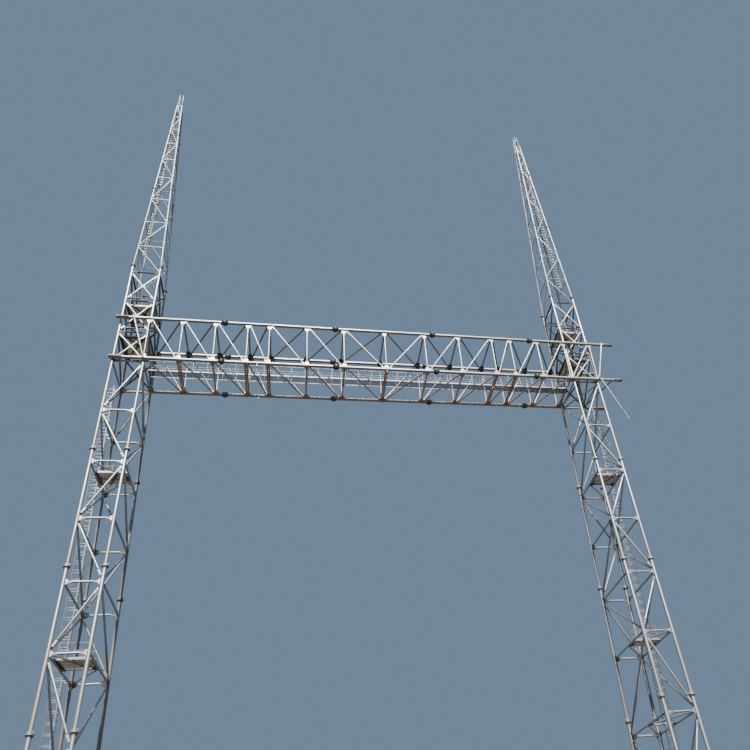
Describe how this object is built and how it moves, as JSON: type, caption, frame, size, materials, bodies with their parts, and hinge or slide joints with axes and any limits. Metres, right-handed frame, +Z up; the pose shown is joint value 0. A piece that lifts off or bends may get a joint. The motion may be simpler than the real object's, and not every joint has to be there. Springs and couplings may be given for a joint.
{
  "type": "substation gantry, 1:10 scale model",
  "caption": "Lattice gantry of galvanised tube: tapering columns carry a box truss with a walkway and line lugs, and slim masts rise over it",
  "frame": {"origin": "on the ground, under the middle of the bounding box", "axes": "+X along the beam to the right as seen from the front, +Y from front to back, +Z up"},
  "size_m": [4.813, 0.8976, 9.1651],
  "materials": {
    "leg_tube": "galvanised steel tube, matt, faintly mottled, with light dirt",
    "brace_tube": "galvanised steel tube, matt, faintly mottled",
    "beam_tube": "galvanised steel tube with brown staining at the lower joints",
    "deck_grating": "galvanised bar grating, dark seen from below",
    "handrail_tube": "galvanised steel tube",
    "ladder_steel": "galvanised steel bar, slightly dull",
    "stained_steel": "steel plate with brown rust staining"
  },
  "bodies": {
    "root": {"beam_back_bracing": "beam_tube", "beam_bottom_bracing": "beam_tube", "beam_bottom_chords": "beam_tube", "beam_front_bracing": "beam_tube", "beam_top_bracing": "beam_tube", "beam_top_chords": "beam_tube", "left_back_bracing": "brace_tube", "left_back_inner_leg": "leg_tube", "left_back_outer_leg": "leg_tube", "left_front_bracing": "brace_tube", "left_front_inner_leg": "leg_tube", "left_front_outer_leg": "leg_tube", "left_inner_bracing": "brace_tube", "left_ladder": "ladder_steel", "left_ladder_cage": "ladder_steel", "left_mast_back_bracing": "brace_tube", "left_mast_front_bracing": "brace_tube", "left_mast_inner_bracing": "brace_tube", "left_mast_legs": "leg_tube", "left_mast_outer_bracing": "brace_tube", "left_outer_bracing": "brace_tube", "left_plan_bracing": "brace_tube", "left_platform_rails": "handrail_tube", "left_platforms": "deck_grating", "line_lugs": "stained_steel", "loose_braces": "brace_tube", "right_back_bracing": "brace_tube", "right_back_inner_leg": "leg_tube", "right_back_outer_leg": "leg_tube", "right_front_bracing": "brace_tube", "right_front_inner_leg": "leg_tube", "right_front_outer_leg": "leg_tube", "right_inner_bracing": "brace_tube", "right_ladder": "ladder_steel", "right_ladder_cage": "ladder_steel", "right_mast_back_bracing": "brace_tube", "right_mast_front_bracing": "brace_tube", "right_mast_inner_bracing": "brace_tube", "right_mast_legs": "leg_tube", "right_mast_outer_bracing": "brace_tube", "right_outer_bracing": "brace_tube", "right_plan_bracing": "brace_tube", "right_platform_rails": "handrail_tube", "right_platforms": "deck_grating", "walkway_back_rail": "handrail_tube", "walkway_deck": "deck_grating", "walkway_front_rail": "handrail_tube"}
  },
  "joints": []
}
